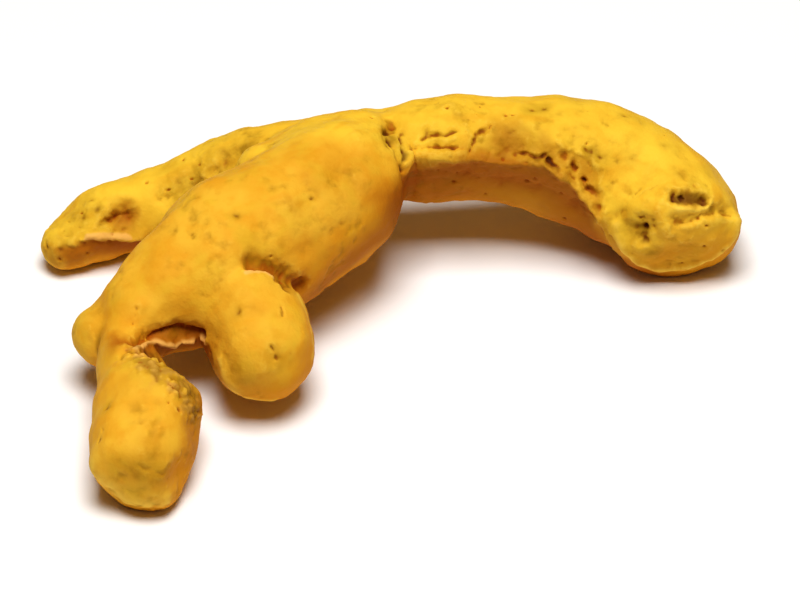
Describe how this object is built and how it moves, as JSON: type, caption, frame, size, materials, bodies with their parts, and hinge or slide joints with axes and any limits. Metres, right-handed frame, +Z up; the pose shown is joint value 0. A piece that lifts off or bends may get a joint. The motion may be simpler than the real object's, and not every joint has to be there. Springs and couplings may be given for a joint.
{
  "type": "turmeric root",
  "caption": "Branched dried turmeric rhizome, bare and polished: an arched finger with a thick side finger that ends in a foot lobe, a knob and a bud.",
  "frame": {"origin": "middle of the outer box in plan, at the height of the surface that the root lies on", "axes": "+X from the left tip to the blunt right end of the main finger, +Z up; the foot lobe points to -Y"},
  "size_m": [0.0748, 0.0561, 0.0195],
  "materials": {
    "turmeric_skin": "matt, powdery yellow polish over bare root, brown in the scars and creases"
  },
  "bodies": {
    "root": {"turmeric_root": "turmeric_skin"}
  },
  "joints": []
}
